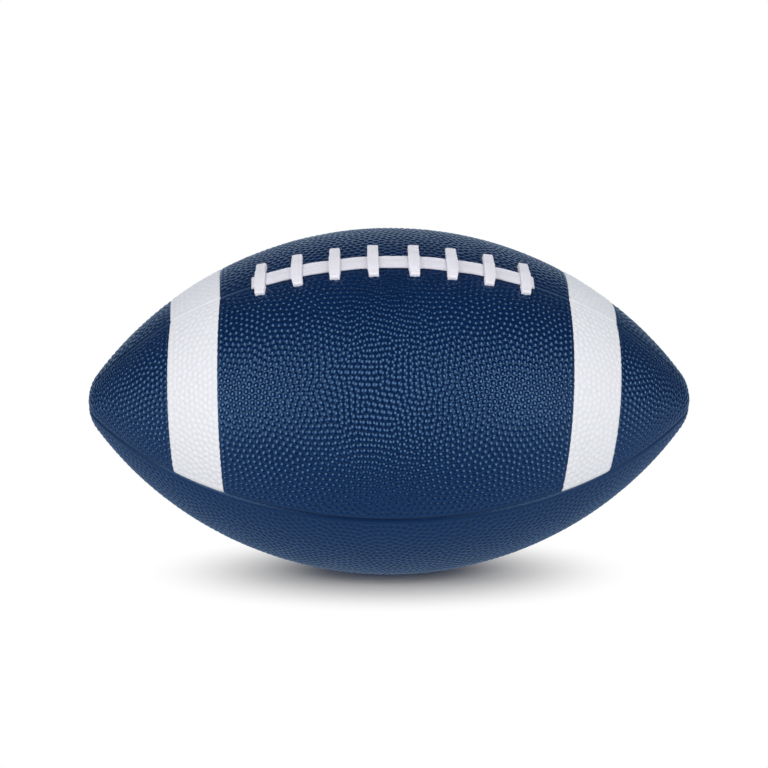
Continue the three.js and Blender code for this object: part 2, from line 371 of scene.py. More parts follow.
navyRubber = pebbledRubber("navyRubber", coverFinish)
whiteRubber = pebbledRubber("whiteRubber", stripeFinish)
crossVinyl = drawnVinyl("crossLaceVinyl", crossFinish, 0)
runVinyl = drawnVinyl("laceRunVinyl", shadedRunFinish, 1)
innerRubber = mouldedRubber("innerRubber", innerFinish)
valveRubber = mouldedRubber("valveRubber", valveFinish)
threadWinding = woundThread("threadWinding", threadFinish)
print("finishes made")


def newObject(name, data):
    made = bpy.data.objects.new(name, data)
    bpy.context.scene.collection.objects.link(made)
    return made


# a mesh from points in millimetres, rolled to where the laces lie
def newPiece(name, points, triangles, finish, sharpAngle=55, normals=None):
    mesh = bpy.data.meshes.new(name)
    mesh.vertices.add(len(points))
    mesh.vertices.foreach_set("co", (points @ rolled.T * metre).astype(np.float32).ravel())
    mesh.loops.add(3 * len(triangles))
    mesh.loops.foreach_set("vertex_index", np.asarray(triangles, np.int32).ravel())
    mesh.polygons.add(len(triangles))
    mesh.polygons.foreach_set("loop_start", np.arange(0, 3 * len(triangles), 3, dtype=np.int32))
    mesh.update(calc_edges=True)
    mesh.validate()
    mesh.shade_smooth()
    mesh.set_sharp_from_angle(angle=math.radians(sharpAngle))
    if normals is not None:
        mesh.normals_split_custom_set_from_vertices((normals @ rolled.T).astype(np.float32))
    mesh.materials.append(finish)
    return newObject(name, mesh)


def place(piece, body, slot, *nodes):
    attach(piece, body)
    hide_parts(*nodes)


# stripes: their edges bow towards the nose, lean, and waver over the pebbles
stripes = {
    "left": {"side": -1, "outer": 99.5, "inner": 76.8, "bow": 1.46, "lean": 0.8},
    "right": {"side": 1, "outer": 100.25, "inner": 77.6, "bow": 2.1, "lean": 2.2},
    "waver": 0.11,
    "waverLength": 3.1,
    "waverShift": 1.7,  # of its phase from edge to edge
    "secondWaver": 0.6,  # share of a longer wave beside it
    "secondRate": 0.69,
    "edgeStep": 1.5,  # between points along an edge
    "proud": 0.09,  # of the white over the navy
    "recess": 0.3,  # of the navy under the white
    "backGap": 0.02,  # between the back of the white and the navy
    "edgeGap": 0.01,  # and at the edges
}
stripeEdges = [
    (stripes["left"], "outer"),
    (stripes["left"], "inner"),
    (stripes["right"], "inner"),
    (stripes["right"], "outer"),
]


def stripeLean(stripe, edge, share):  # share 0 at the laces, 1 at the far seam
    middle = 2 * share - 1
    return stripe["side"] * leanAt(stripe[edge] + stripe["bow"] * (1 - middle**2) - stripe["lean"] * middle)


# pebbles: low domes on level ground
pebbles = {
    "pitch": 2.95,
    "radius": 1.55,
    "height": 0.4,
    "ground": 0.34,  # depth of the ground between the pebbles
    "rings": [  # share of the radius, share of the height, and slope in degrees
        (0.5, 0.77, 19.0),
        (0.95, 0.12, 36.5),
    ],
    "rimSlope": 10.0,
    "whiteSwell": 0.56,  # share of height and slope left under the white of the stripes
    "seamInset": 2.5,  # from the middle of a seam to the first row
    "laceInset": 1.75,  # from the seam under the laces
    "edgeInset": 1.45,  # from the edge of a stripe
    "halfway": 0.495,  # how far towards the next pebble a pebble may come
    "bareShare": 0.8,  # towards a corner without one
    "borderShare": 0.74,  # towards a border
    "whorl": 25.0,  # between the middles of the rings that the pebbles lie in
    "whorlReach": 0.75,  # share of that distance that the rings go out
    "ringStep": 0.88,  # share of the pitch from ring to ring
    "leastGap": 0.74,  # share of the pitch between two pebbles when sown
    "slack": 0.4,  # share of the pitch past a border within which a pebble is kept
    "settleSteps": 18,
    "lookEvery": 4,  # steps between two searches for neighbours
    "neighbours": 9,
    "push": 0.36,
    "reach": 1.17,  # share of the pitch within which pebbles push each other apart
    "drift": 0.03,  # how much the reach changes from place to place
    "driftLength": 34.0,
    "driftPhases": (0.4, 1.9, 3.1),
    "variation": 0.06,
}
valley = pebbles["ground"]
luck = np.random.default_rng(13)


def alongSkin(lean, turn):
    return np.stack([np.cos(lean), np.sin(lean) * np.sin(turn), -np.sin(lean) * np.cos(turn)], -1)


def roundSkin(turn):
    return np.stack([np.zeros_like(turn), -np.cos(turn), -np.sin(turn)], -1)


def treeOf(spots):
    tree = KDTree(len(spots))
    for number, spot in enumerate(spots):
        tree.insert(spot, number)
    tree.balance()
    return tree


# pebbles start in rings round many middles, which lie over the ball as a sunflower's seeds do
def sowPebbles():
    cell = pebbles["whorl"] ** 2 * math.sqrt(0.75)  # area round a middle in an even pattern
    count = int(2 * math.pi * areaTable[-1] / cell)
    number = np.arange(count) + 0.5
    lean = np.interp(number / count * areaTable[-1], areaTable, leanTable)
    turn = (number * math.pi * (3 - math.sqrt(5))) % (2 * math.pi)  # by the golden angle
    middles, along, beside = skinPoint(lean, turn), alongSkin(lean, turn), roundSkin(turn)
    step = pebbles["ringStep"] * pebbles["pitch"]
    sown = []
    for radius in np.arange(0, pebbles["whorlReach"] * pebbles["whorl"], step):
        onRing = max(1, round(2 * math.pi * radius / pebbles["pitch"]))
        angle = (np.arange(onRing) / onRing + luck.uniform(size=(count, 1)))[..., None] * 2 * math.pi
        ring = np.cos(angle) * along[:, None] + np.sin(angle) * beside[:, None]
        sown.append((middles[:, None] + radius * ring).reshape(-1, 3))
    sown = np.concatenate(sown)
    lean, turn = leanOf(sown), np.arctan2(-sown[:, 1], sown[:, 2]) % (2 * math.pi)
    spots = skinPoint(lean, turn)
    tree = treeOf(spots)
    taken = np.zeros(len(spots), bool)
    for number, spot in enumerate(spots):
        near = tree.find_range(spot, pebbles["leastGap"] * pebbles["pitch"])
        taken[number] = not any(taken[found[1]] for found in near)
    return lean[taken], turn[taken]


def fieldOf(lean, turn, striped):  # 0 to 4 from the left nose, odd on the stripes
    if not striped:
        return np.zeros(np.shape(lean), int)
    return sum((lean > stripeLean(*edge, turn / quarter)).astype(int) for edge in stripeEdges)


def holdInField(lean, turn, field, striped, slack=0.0):
    nearInset = pebbles["laceInset" if striped else "seamInset"] - slack
    farInset = pebbles["seamInset"] - slack
    tip = tipLean(nearInset, farInset)
    low, high = np.full(lean.shape, -tip), np.full(lean.shape, tip)
    if striped:
        room = (pebbles["edgeInset"] - slack) / barrelRadius
        edges = [stripeLean(*edge, turn / quarter) for edge in stripeEdges]
        for number, edge in enumerate(edges):
            low = np.where(field == number + 1, edge + room, low)
            high = np.where(field == number, edge - room, high)
    heldLean = np.clip(lean, low, high)
    out = outline(heldLean)[1]
    nearBorder, farBorder = [np.arcsin(np.clip(inset / out, 0, 1)) for inset in (nearInset, farInset)]
    return heldLean, np.clip(turn, nearBorder, np.maximum(quarter - farBorder, nearBorder))


# pushes neighbours apart until they lie evenly, with a row along each border
def settlePebbles(striped):
    lean, turn = sowPebbles()
    field = fieldOf(lean, turn, striped)
    loose = holdInField(lean, turn, field, striped, pebbles["slack"] * pebbles["pitch"])
    inside = (turn < quarter) & (np.abs(loose[0] - lean) < exact) & (np.abs(loose[1] - turn) < exact)
    lean, turn, field = lean[inside], turn[inside], field[inside]
    for step in range(pebbles["settleSteps"]):
        lean, turn = holdInField(lean, turn, field, striped)
        spots = skinPoint(lean, turn)
        waves = np.sin(spots / pebbles["driftLength"] * 2 * math.pi + pebbles["driftPhases"]).sum(1)
        reach = pebbles["pitch"] * (pebbles["reach"] + pebbles["drift"] * waves)[:, None, None]
        if step % pebbles["lookEvery"] == 0:
            tree = treeOf(spots)
            found = [tree.find_n(spot, pebbles["neighbours"]) for spot in spots]
            near = np.array([[each[1] for each in row] for row in found])
        apart = spots[:, None] - spots[near]
        gap = np.linalg.norm(apart, axis=-1, keepdims=True)
        push = pebbles["push"] * (apart * np.clip(reach - gap, 0, None) / np.maximum(gap, tiny)).sum(1)
        along, beside = alongSkin(lean, turn), roundSkin(turn)
        out = outline(lean)[1]
        lean = lean + (push * along).sum(-1) / bendRadius(lean)
        turn = turn + (push * beside).sum(-1) / out
    return holdInField(lean, turn, field, striped)


# seams: a smooth lip beside the pebbles, then a groove down to the slit
seams = {
    "step": 2.6,  # between points along a seam
    "rows": [  # distance from the middle of the seam, and depth
        (1.5, 0.345),
        (1.2, 0.38),
        (0.9, 0.5),
        (0.6, 0.68),
        (0.3, 0.84),
        (0.05, 0.92),
    ],
    "slit": 0.04,  # half of the least gap between two panels
    "laceShare": 0.45,  # how wide the seam under the laces is beside the others
    "laceDepth": 0.5,  # and how deep
}

# valve hole, in the panel at the back: a smooth ring round it
valveHole = {
    "turn": 45.0,  # degrees across its panel
    "clear": 8.4,  # no pebbles this near
    "cutShare": 0.985,  # of the first row, inside which the cover is cut out
    "points": 40,
    "rows": [(6.9, 0.28), (6.5, 0.18), (5.9, 0.15), (5.5, 0.32), (5.35, 0.6)],
}

# bed under the laces: the cover is thinner over it
laceBed = {"halfLength": 69.5, "halfWidth": 18.0, "topDepth": 0.8, "grooveDepth": 0.7}


def overBed(lean, turn):
    across = outline(lean)[1] * np.minimum(turn, 2 * math.pi - turn)
    return (np.abs(stretchAt(lean)) < laceBed["halfLength"]) & (across < laceBed["halfWidth"])


def evenSteps(start, end, step):
    count = max(1, round(abs(stretchAt(end) - stretchAt(start)) / step))
    return list(np.linspace(start, end, count + 1))


# the net of a panel: pebbles, seam rows and stripe edges as corners, joined by triangles
class PanelNet:
    def __init__(self, striped, valve):
        self.striped = striped
        self.lean, self.turn, self.depth = [], [], []
        self.onEdge = []
        self.walls = []  # pairs of corners that triangles keep as sides
        self.rims = []  # triangles outside the pebbled ground
        self.cutOut = None
        self.sowCorners(valve)
        self.layRims()
        if striped:
            self.layStripeEdges()
        if valve:
            self.layValveRim()
        self.joinCorners()
        self.sizePebbles()

    def corner(self, lean, turn, depth, onEdge=False):
        self.lean.append(float(lean))
        self.turn.append(float(turn))
        self.depth.append(float(depth))
        self.onEdge.append(onEdge)
        return len(self.lean) - 1

    def sowCorners(self, valve):
        lean, turn = settlePebbles(self.striped)
        if valve:
            fromValve = skinPoint(lean, turn) - skinPoint(0.0, math.radians(valveHole["turn"]))
            clear = np.linalg.norm(fromValve, axis=1) > valveHole["clear"]
            lean, turn = lean[clear], turn[clear]
        for spot in zip(lean, turn):
            self.corner(*spot, valley)
        self.pebbleCount = len(lean)

    # leans of the points along one side, with a point wherever a stripe's edge comes in
    def seamLeans(self, tip, share):
        breaks = [-tip, tip]
        if self.striped:
            breaks = [-tip, *[float(stripeLean(*edge, share)) for edge in stripeEdges], tip]
        leans = [-tip]
        for start, end in zip(breaks, breaks[1:]):
            leans += evenSteps(start, end, seams["step"])[1:]
        ends = set(breaks[1:-1])
        return leans, [lean in ends for lean in leans]

    # loops round the panel: the far side from left to right, then the lace side back
    def layRims(self):
        nearShare, nearDepth = (seams["laceShare"], seams["laceDepth"]) if self.striped else (1.0, 1.0)
        firstInset, firstDepth = seams["rows"][0]
        firstTip = tipLean(nearShare * firstInset, firstInset)
        nearLeans, nearEnds = self.seamLeans(firstTip, 0.0)
        farLeans, farEnds = self.seamLeans(firstTip, 1.0)
        around = [(lean, True, end) for lean, end in zip(farLeans, farEnds)]
        around += [(lean, False, end) for lean, end in zip(nearLeans, nearEnds)][-2:0:-1]
        loops = []
        for inset, depth in seams["rows"]:
            nearInset = max(nearShare * inset, seams["slit"])
            tipShift = tipLean(nearInset, inset) - firstTip
            loop = []
            for lean, far, end in around:
                onNose = max(0.0, (abs(lean) - noseStart) / (firstTip - noseStart))
                rowLean = lean + math.copysign(tipShift * onNose, lean)
                out = float(outline(rowLean)[1])
                turn = quarter - math.asin(inset / out) if far else math.asin(nearInset / out)
                sunk = (depth - firstDepth) * (1.0 if far else nearDepth)
                loop.append(self.corner(rowLean, turn, firstDepth + sunk, end))
            loops.append(loop)
        self.joinLoops(loops)
        self.edgeEnds = [
            [corner for corner, spot in zip(loops[0], around) if spot[2] and spot[1] == far]
            for far in (False, True)
        ]
        self.edgeEnds[0].reverse()

    def joinLoops(self, loops):
        count = len(loops[0])
        for inner, outer in zip(loops, loops[1:]):
            for spot in range(count):
                after = (spot + 1) % count
                self.rims.append((outer[spot], outer[after], inner[after]))
                self.rims.append((outer[spot], inner[after], inner[spot]))
        self.walls += [(loops[0][spot], loops[0][(spot + 1) % count]) for spot in range(count)]

    def layStripeEdges(self):
        for number, (edge, near, far) in enumerate(zip(stripeEdges, *self.edgeEnds)):
            start, end = self.turn[near], self.turn[far]
            out = float(outline(self.lean[near])[1])
            count = round((end - start) * out / stripes["edgeStep"])
            chain = [near]
            for spot in range(1, count):
                turn = start + (end - start) * spot / count
                phase = turn * out / stripes["waverLength"] * 2 * math.pi + stripes["waverShift"] * number
                second = stripes["secondWaver"] * math.sin(stripes["secondRate"] * phase + number)
                waver = stripes["waver"] * (math.sin(phase) + second)
                lean = stripeLean(*edge, turn / quarter) + waver / barrelRadius
                chain.append(self.corner(lean, turn, valley, True))
            chain.append(far)
            self.walls += list(zip(chain, chain[1:]))

    def layValveRim(self):
        centre = math.radians(valveHole["turn"])
        loops = []
        for radius, depth in valveHole["rows"]:
            angles = -np.linspace(0, 2 * math.pi, valveHole["points"], endpoint=False)
            loop = []
            for angle in angles:
                lean = radius * math.sin(angle) / barrelRadius
                loop.append(self.corner(lean, centre + radius * math.cos(angle) / bellyRadius, depth))
            loops.append(loop)
        self.joinLoops(loops)
        self.cutOut = (centre, valveHole["cutShare"] * valveHole["rows"][0][0])

    def joinCorners(self):
        self.lean, self.turn = np.array(self.lean), np.array(self.turn)
        self.depth, self.onEdge = np.array(self.depth), np.array(self.onEdge)
        self.domed = np.arange(len(self.lean)) < self.pebbleCount
        used = np.unique(np.concatenate([np.arange(self.pebbleCount), np.array(self.walls).ravel()]))
        chart = np.stack([self.turn, chartAt(self.lean)], -1)[used]
        renamed = {corner: spot for spot, corner in enumerate(used)}
        walls = [(renamed[start], renamed[end]) for start, end in self.walls]
        insideWalls = 1  # keeps the triangles that the walls enclose
        found = delaunay_2d_cdt([Vector(spot) for spot in chart], walls, [], insideWalls, exact)
        original = np.array([inputs[0] for inputs in found[3]])
        ground = used[original[np.array(found[2])]]
        if self.cutOut:
            centre, radius = self.cutOut
            middle = skinPoint(self.lean[ground].mean(1), self.turn[ground].mean(1))
            ground = ground[np.linalg.norm(middle - skinPoint(0.0, centre), axis=1) > radius]
        self.triangles = np.concatenate([ground, np.array(self.rims)])
        middleLean, middleTurn = self.lean[self.triangles].mean(1), self.turn[self.triangles].mean(1)
        self.field = fieldOf(middleLean, middleTurn, self.striped)

    # a pebble is smaller where its neighbours or a border come close
    def sizePebbles(self):
        spots = skinPoint(self.lean, self.turn)
        radius = np.where(self.domed, pebbles["radius"], 0.0)
        corners = self.triangles
        for first, second, third in ((0, 1, 2), (1, 2, 0), (2, 0, 1)):
            here, there, other = corners[:, first], corners[:, second], corners[:, third]
            length = np.linalg.norm(spots[here] - spots[there], axis=1)
            for inner, outer in ((here, there), (there, here)):
                share = np.where(self.domed[outer], pebbles["halfway"], pebbles["bareShare"])
                np.minimum.at(radius, inner, share * length)
            side = spots[there] - spots[other]
            height = np.linalg.norm(np.cross(side, spots[here] - spots[other]), axis=1)
            height = height / np.maximum(np.linalg.norm(side, axis=1), tiny)
            border = ~self.domed[there] & ~self.domed[other]
            np.minimum.at(radius, here[border], pebbles["borderShare"] * height[border])
        self.radius = radius
        change = 1 + pebbles["variation"] * luck.uniform(-1, 1, len(radius))
        self.height = pebbles["height"] * change * radius / pebbles["radius"]

    # the same net on another quarter of the ball, mirrored for the panel on the other side of the laces
    def placed(self, firstTurn, mirrored):
        turn = quarter - self.turn if mirrored else self.turn
        triangles = self.triangles[:, ::-1] if mirrored else self.triangles
        return turn + firstTurn, triangles


# the upper face of some of a net's triangles: each pebble is a dome on level ground
def raiseDomes(net, turn, triangles, depth, domed, swell):
    base = skinPoint(net.lean, turn, depth)
    normal = skinNormal(net.lean, turn)
    radius = np.where(domed, net.radius, 0.0)
    count = len(triangles)
    sides = np.stack([triangles, np.roll(triangles, -1, 1)], -1).reshape(-1, 2)
    edges, edgeOf, uses = np.unique(np.sort(sides, 1), axis=0, return_inverse=True, return_counts=True)
    edgeOf = edgeOf.reshape(-1, 3)

    # a point on each edge, halfway over the ground that the domes leave
    length = np.maximum(np.linalg.norm(base[edges[:, 0]] - base[edges[:, 1]], axis=1), tiny)
    among = domed[edges].all(1)[:, None]
    halfway = np.minimum(pebbles["radius"], pebbles["halfway"] * length)
    reached = np.where(among, halfway[:, None], radius[edges])
    share = 0.5 + 0.5 * (reached[:, 0] - reached[:, 1]) / length

    def between(values):
        return values[edges[:, 0]] * (1 - share) + values[edges[:, 1]] * share

    middles = skinPoint(between(net.lean), between(turn), between(depth))

    # a point in each triangle, pushed out of a lone dome
    weight = np.ones(triangles.shape)
    lone = domed[triangles].sum(1) == 1
    toMiddle = np.linalg.norm(base[triangles] - base[triangles].mean(1, keepdims=True), axis=-1)
    far = toMiddle * 1.5  # to the middle of the side opposite
    reach = (radius[triangles] / np.maximum(far, tiny) + 1) / 2
    pushed = 2 * (1 - reach) / np.maximum(reach, tiny)
    weight[lone] = np.where(domed[triangles], pushed, 1.0)[lone]
    weight = weight / weight.sum(1, keepdims=True)

    def within(values):
        return (values[triangles] * weight).sum(1)

    centres = skinPoint(within(net.lean), within(turn), within(depth))

    def wayOut(corner, towards):
        way = towards - base[corner]
        way = way - normal[corner] * (way * normal[corner]).sum(-1, keepdims=True)
        return way / np.maximum(np.linalg.norm(way, axis=-1, keepdims=True), exact)

    def sloped(corner, way, degrees):
        slope = math.radians(swell * degrees)
        return normal[corner] * math.cos(slope) + way * math.sin(slope)

    ends = edges.ravel()
    corner = triangles.ravel()
    aheadEnds = 2 * edgeOf + (edges[edgeOf, 1] == triangles)
    behind = np.roll(edgeOf, 1, 1)
    behindEnds = 2 * behind + (edges[behind, 1] == triangles)
    endRadius = reached.ravel()
    cornerRadius = ((endRadius[aheadEnds] + endRadius[behindEnds]) / 2).ravel()
    endWay = wayOut(ends, base[edges[:, ::-1].ravel()])
    cornerWay = wayOut(corner, np.repeat(centres, 3, axis=0))
    lift = normal * np.where(domed, swell * net.height, 0.0)[:, None]
    level = (domed[edges].any(1) & (uses > 1))[:, None]
    groups = [  # points, which way the skin faces there, and how high up a dome
        (base + lift, normal * domed[:, None], np.where(domed, 1.0, 0.0)),
        (middles, skinNormal(between(net.lean), between(turn)) * level, 0.0),
        (centres, skinNormal(within(net.lean), within(turn)) * domed[triangles].any(1)[:, None], 0.0),
    ]
    for out, up, slope in [*pebbles["rings"], (1.0, 0.0, pebbles["rimSlope"])]:
        ring = base[ends] + endWay * (endRadius * out)[:, None] + lift[ends] * up
        groups.append((ring, sloped(ends, endWay, slope), up))
    rim = base[corner] + cornerWay * cornerRadius[:, None]
    groups.append((rim, sloped(corner, cornerWay, pebbles["rimSlope"]), 0.0))
    points, normals = [np.concatenate([group[part] for group in groups]) for part in (0, 1)]
    crown = np.concatenate([np.broadcast_to(group[2], len(group[0])) for group in groups])
    starts = np.cumsum([0] + [len(group[0]) for group in groups])
    middleStart, centreStart, ringStarts = starts[1], starts[2], starts[3:-2]
    slants = starts[-2] + np.arange(3 * count).reshape(-1, 3)

    # level ground between three domes, a fan where domes meet other ground, and plain triangles
    split = (domed[edges].sum(1) == 1) | (uses == 1)
    amongDomes = domed[triangles].all(1)
    plain = ~domed[triangles].any(1) & ~split[edgeOf].any(1)
    fanned = ~amongDomes & ~plain
    centre = centreStart + np.arange(count)
    everywhere = [(plain, tuple(triangles.T)), (amongDomes, tuple(slants.T))]
    for spot in range(3):
        here, there = triangles[:, spot], triangles[:, (spot + 1) % 3]
        ahead = edgeOf[:, spot]
        nextRing = [start + aheadEnds[:, spot] for start in ringStarts]
        lastRing = [start + behindEnds[:, spot] for start in ringStarts]
        opposite = ringStarts[-1] + 2 * ahead + (edges[ahead, 1] == there)
        slant, nextSlant = slants[:, spot], slants[:, (spot + 1) % 3]
        onDome = domed[here]
        everywhere.append((onDome, (here, nextRing[0], lastRing[0])))
        for inner in range(len(ringStarts) - 2):
            everywhere.append((onDome, (nextRing[inner], nextRing[inner + 1], lastRing[inner + 1])))
            everywhere.append((onDome, (nextRing[inner], lastRing[inner + 1], lastRing[inner])))
        leave, arrive = np.where(onDome, nextRing[-1], here), np.where(domed[there], opposite, there)
        middle, cut = middleStart + ahead, split[ahead]
        everywhere += [
            (onDome, (nextRing[-2], nextRing[-1], slant)),
            (onDome, (nextRing[-2], slant, lastRing[-2])),
            (onDome, (lastRing[-2], slant, lastRing[-1])),
            (amongDomes, (slant, nextRing[-1], opposite)),
            (amongDomes, (slant, opposite, nextSlant)),
            (fanned & onDome, (centre, lastRing[-1], slant)),
            (fanned & onDome, (centre, slant, nextRing[-1])),
            (fanned & cut, (centre, leave, middle)),
            (fanned & cut, (centre, middle, arrive)),
            (fanned & ~cut, (centre, leave, arrive)),
        ]
    faces = np.concatenate([np.stack(face, -1)[chosen] for chosen, face in everywhere])
    onBorder = (uses == 1)[edgeOf].ravel()
    border = (*sides[onBorder].T, middleStart + edgeOf.ravel()[onBorder])
    return points, normals, crown, faces, border


# closes the upper face with a plain lower one and a wall round the border
def skinPiece(name, net, firstTurn, mirrored, chosen, depth, lowerDepth, domed, swell, finish):
    turn, triangles = net.placed(firstTurn, mirrored)
    triangles = triangles[chosen]
    points, normals, crown, faces, border = raiseDomes(net, turn, triangles, depth, domed, swell)
    lower = skinPoint(net.lean, turn, lowerDepth)
    lowerStart = len(points)
    start, end, middle = border
    walls = np.concatenate([
        np.stack([lowerStart + start, lowerStart + end, middle], -1),
        np.stack([lowerStart + start, middle, start], -1),
        np.stack([lowerStart + end, end, middle], -1),
    ])
    under = lowerStart + triangles[:, ::-1]
    allPoints = np.concatenate([points, lower])
    allNormals = np.concatenate([normals, np.zeros_like(lower)])
    allFaces = np.concatenate([faces, walls, under])
    kinds = np.repeat([0, 1, 2], [len(faces), len(walls), len(under)])
    allCrown = np.concatenate([crown, np.zeros(len(lower))])

    used, allFaces = np.unique(allFaces, return_inverse=True)
    allFaces = allFaces.reshape(-1, 3)
    allPoints, allCrown = allPoints[used], allCrown[used]
    piece = newPiece(name, allPoints, allFaces, finish, normals=allNormals[used])
    attribute = piece.data.attributes.new("crown", "FLOAT", "POINT")
    attribute.data.foreach_set("value", allCrown.astype(np.float32))
    spreadMap(piece, allPoints, allFaces, kinds, firstTurn)
    return piece


# a map over the panel: the upper face fills most of it, the wall and the lower face a strip each
mapStrips = {
    "upper": (0.01, 0.87),  # where a strip starts, and how wide it is
    "wall": (0.9, 0.02),
    "under": (0.94, 0.05),
    "halfHeight": 0.49,
}


def spreadMap(piece, points, faces, kinds, firstTurn):
    turn = np.arctan2(-points[:, 1], points[:, 2])
    across = np.mod(turn - firstTurn + quarter / 2, 2 * math.pi) - quarter / 2
    share = np.clip(across / quarter, 0, 1)
    along = 0.5 + mapStrips["halfHeight"] * stretchAt(leanOf(points)) / stretchAt(np.array([quarter]))[0]
    depthShare = np.clip((bellyRadius - np.hypot(points[:, 1], points[:, 2])) / bellyRadius, 0, 1)
    strips = []
    for strip, part in (("upper", share), ("wall", (share + depthShare) / 2), ("under", share)):
        start, width = mapStrips[strip]
        strips.append(start + width * part)
    chosen = np.stack(strips, -1)[faces, kinds[:, None]]
    layer = piece.data.uv_layers.new(name="OFBake")
    layer.uv.foreach_set("vector", np.stack([chosen, along[faces]], -1).astype(np.float32).ravel())


def laySkin(name, slot, node, *shape):
    skin = skinPiece(name, *shape)
    place(skin, "ball", slot, node)
    print(name, len(skin.data.polygons), "triangles")


panels = [
    {"name": "front", "firstTurn": 0.0, "striped": True, "mirrored": False, "valve": False},
    {"name": "bottom", "firstTurn": quarter, "striped": False, "mirrored": False, "valve": False},
    {"name": "back", "firstTurn": 2 * quarter, "striped": False, "mirrored": False, "valve": True},
    {"name": "top", "firstTurn": 3 * quarter, "striped": True, "mirrored": True, "valve": False},
]
nets = {}
for panel in panels:
    kind = (panel["striped"], panel["valve"])
    if kind not in nets:
        nets[kind] = PanelNet(*kind)
        print("pebbles settled:", nets[kind].pebbleCount)
    net = nets[kind]
    turn, triangles = net.placed(panel["firstTurn"], panel["mirrored"])
    bedded = overBed(net.lean, turn)
    depth = np.where(bedded, np.minimum(net.depth, laceBed["grooveDepth"]), net.depth)
    lower = np.where(bedded, laceBed["topDepth"], ballForm["coverThickness"])
    white = (fieldOf(net.lean, net.turn, net.striped) % 2 == 1) & ~net.onEdge
    everything = np.ones(len(triangles), bool)
    navyDepth = depth + np.where(white, stripes["recess"], 0.0)
    navyDomes = net.domed & ~white
    ground = (net, panel["firstTurn"], panel["mirrored"], everything)
    shape = (*ground, navyDepth, lower, navyDomes, 1.0, navyRubber)
    laySkin(panel["name"] + "PanelSkin", "cover", panel["name"] + "_panel", *shape)
    if not panel["striped"]:
        continue
    raised = (1 - pebbles["whiteSwell"]) * valley  # so that the flatter pebbles end as high
    whiteDepth = depth - stripes["proud"] - np.where(net.onEdge, 0.0, raised)
    backDepth = depth + np.where(net.onEdge, -stripes["edgeGap"], stripes["recess"] - stripes["backGap"])
    for side, field in (("left", 1), ("right", 3)):
        ground = (net, panel["firstTurn"], panel["mirrored"], net.field == field)
        shape = (*ground, whiteDepth, backDepth, net.domed, pebbles["whiteSwell"], whiteRubber)
        name = panel["name"] + side.capitalize() + "StripeSkin"
        laySkin(name, "stripe", f"{panel['name']}_{side}_stripe", *shape)


# two triangles for each side of a tube of rings
def ringFaces(steps, around, closed=False):
    faces = []
    for step in range(steps if closed else steps - 1):
        for spot in range(around):
            a, b = step * around + spot, step * around + (spot + 1) % around
            c, d = [(corner + around) % (steps * around) for corner in (b, a)]
            faces += [(a, b, c), (a, c, d)]
    return faces


# joins sections into a closed strip
def loft(sections):
    steps, around = sections.shape[:2]
    points = sections.reshape(-1, 3)
    faces = ringFaces(steps, around)
    for end, flip in ((0, True), (steps - 1, False)):
        ring = [end * around + spot for spot in range(around)]
        points = np.concatenate([points, sections[end].mean(0, keepdims=True)])
        hub = len(points) - 1
        for spot in range(around):
            face = (ring[spot], ring[(spot + 1) % around], hub)
            faces.append(face[::-1] if flip else face)
    return points, np.array(faces)


# turns a strip's faces outwards
def facingOut(points, faces):
    a, b, c = points[faces[:, 0]], points[faces[:, 1]], points[faces[:, 2]]
    volume = np.einsum("ij,ij->i", a, np.cross(b, c)).sum()
    return faces if volume > 0 else faces[:, ::-1]


def smoothStep(share):
    share = np.clip(share, 0, 1)
    return share * share * (3 - 2 * share)


flatTop = 8  # power that keeps the middle of a strip level and lets its edges drop


# runs: two flat lengths of lace side by side, with fine lines pressed along them
laceRun = {
    "width": 3.9,
    "thickness": 1.0,
    "middle": -1.3,  # of the pair, from the seam towards the front
    "overhang": 1.7,
    "rest": 0.02,  # of the underside over the skin
    "bulge": 0.1,  # between the cross laces
    "bulgeFrom": 2.2,  # this far from the middle of a cross lace
    "bulgeOver": 4.0,
    "steps": 200,
    "topSpan": (-0.99, 0.95),
    "topPoints": 41,
    "innerRound": 0.02,  # share of the thickness that the top drops at each edge
    "outerRound": 0.13,
    "outerSide": [(0.985, 0.3, 0), (1.0, 0.0, 0), (1.0, -0.4, 0), (0.97, -0.5, 0)],
    "innerSide": [(0.0, -0.5, 0), (-0.99, -0.5, 0), (-1.0, 0.0, 0), (-1.0, 0.4, 0)],
    "endRound": 0.5,
    "endShare": 0.6,  # share of the thickness left at the ends
    "wanders": [(0.09, 4.1, 1.0), (0.06, 1.7, 2.2)],  # size, length and shift of the outer edge's waves
    "sharp": 40,
    "lineWidth": 0.06,
    "lineDepth": 0.17,
    "frontLines": [-0.55, 0.05, 0.52],  # across the run, with 1 at its outer edge
    "backLines": [-0.3, 0.35, 0.7],
}

# cross laces: thick straps over the runs, square in front and rounded behind
crossLace = {
    "count": 8,
    "pitch": 17.1,
    "middlePitch": 18.2,
    "width": 5.0,
    "front": 7.7,  # from the seam to the front end
    "back": 14.3,
    "top": 2.1,  # over the skin
    "endTop": 1.75,
    "dropOver": 4.0,  # length beside the runs over which the top drops
    "taperOver": 5.0,  # over which the width tapers
    "footOver": 0.3,  # and over which the underside goes down to the skin
    "round": 0.5,  # of the upper edges
    "roundShare": 0.8,  # at most, of the height or of half the width
    "endRound": 1.1,  # of the top at both ends
    "backRound": 1.3,  # of the sides at the back end
    "backPinch": 0.75,  # share of that taken off each side
    "frontTaper": 0.86,
    "backTaper": 0.95,
    "skew": 0.6,  # how far the ends turn level towards the ends of the row
    "bury": 0.6,
    "tilt": 0.012,  # at most, and drawn for each lace like the next two
    "lopsided": 0.25,
    "phases": 6,
    "wavers": [(0.05, 1.3, 1), (0.03, 3.1, 2)],  # size, rate and shift of the sides' waves
    "fibres": 9,
    "fibreHeight": 0.035,
    "topPoints": 37,
    "roundPoints": 6,
    "steps": 90,
    "sharp": 45,
}


